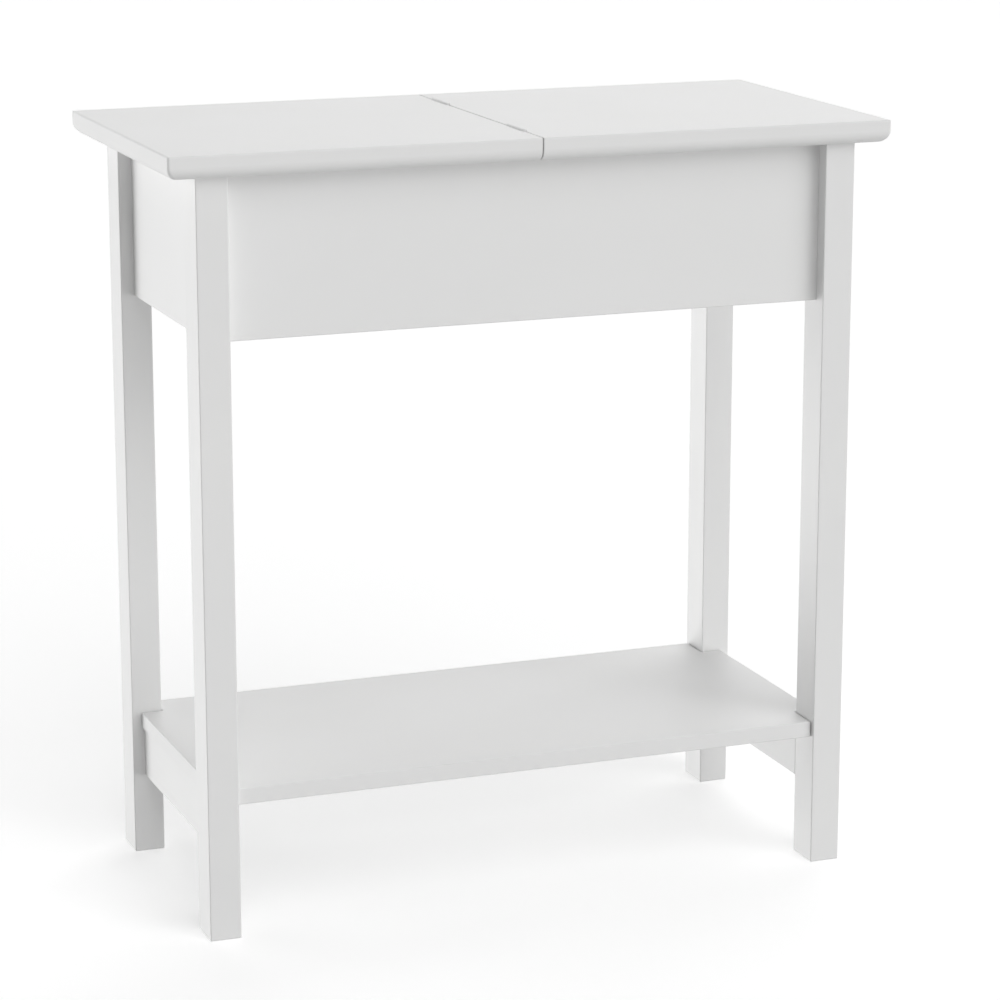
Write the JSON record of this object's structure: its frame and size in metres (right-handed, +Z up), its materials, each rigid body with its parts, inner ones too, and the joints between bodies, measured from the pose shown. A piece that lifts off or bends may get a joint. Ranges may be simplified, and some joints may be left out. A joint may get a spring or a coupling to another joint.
{
  "type": "lift top end table",
  "caption": "Narrow white end table with straight legs, a low shelf and a split top whose hinged half folds over to open a storage box.",
  "frame": {"origin": "on the floor under the middle of the closed table", "axes": "+Z up, +X to the right along the length, towards the lid's free end, -Y to the front"},
  "size_m": [0.584, 0.283, 0.6116],
  "materials": {
    "white_paint": "satin white paint on board",
    "white_enamel": "satin white enamel",
    "zinc_plate": "bright zinc plate",
    "zinc_casting": "dull cast zinc",
    "beech": "plain beech"
  },
  "bodies": {
    "frame": {"fixed_top": "white_paint", "leg_front_left": "white_paint", "leg_front_right": "white_paint", "leg_rear_left": "white_paint", "leg_rear_right": "white_paint", "front_apron": "white_paint", "rear_apron": "white_paint", "left_apron": "white_paint", "right_apron": "white_paint", "compartment_floor": "white_paint", "centre_divider": "white_paint", "shelf": "white_paint", "left_rail": "white_paint", "right_rail": "white_paint", "hinge_front_fixed_leaf": "white_enamel", "hinge_front_pin": "white_enamel", "hinge_rear_fixed_leaf": "white_enamel", "hinge_rear_pin": "white_enamel", "fixed_leaf_screws": "zinc_plate", "shelf_screws": "zinc_plate", "cam_bolts": "zinc_plate", "cam_nuts": "zinc_casting", "apron_dowels": "beech", "side_apron_dowels": "beech", "rail_dowels": "beech", "divider_dowels": "beech", "top_dowels": "beech"},
    "lid": {"lid": "white_paint", "hinge_front_lid_leaf": "white_enamel", "hinge_rear_lid_leaf": "white_enamel", "lid_leaf_screws": "zinc_plate"}
  },
  "joints": [
    {"name": "lid_hinge", "type": "hinge", "parent": "frame", "child": "lid", "pos_m": [0, 0, 0.6103], "axis": [0, -1, 0], "range_deg": [0, 180]}
  ]
}
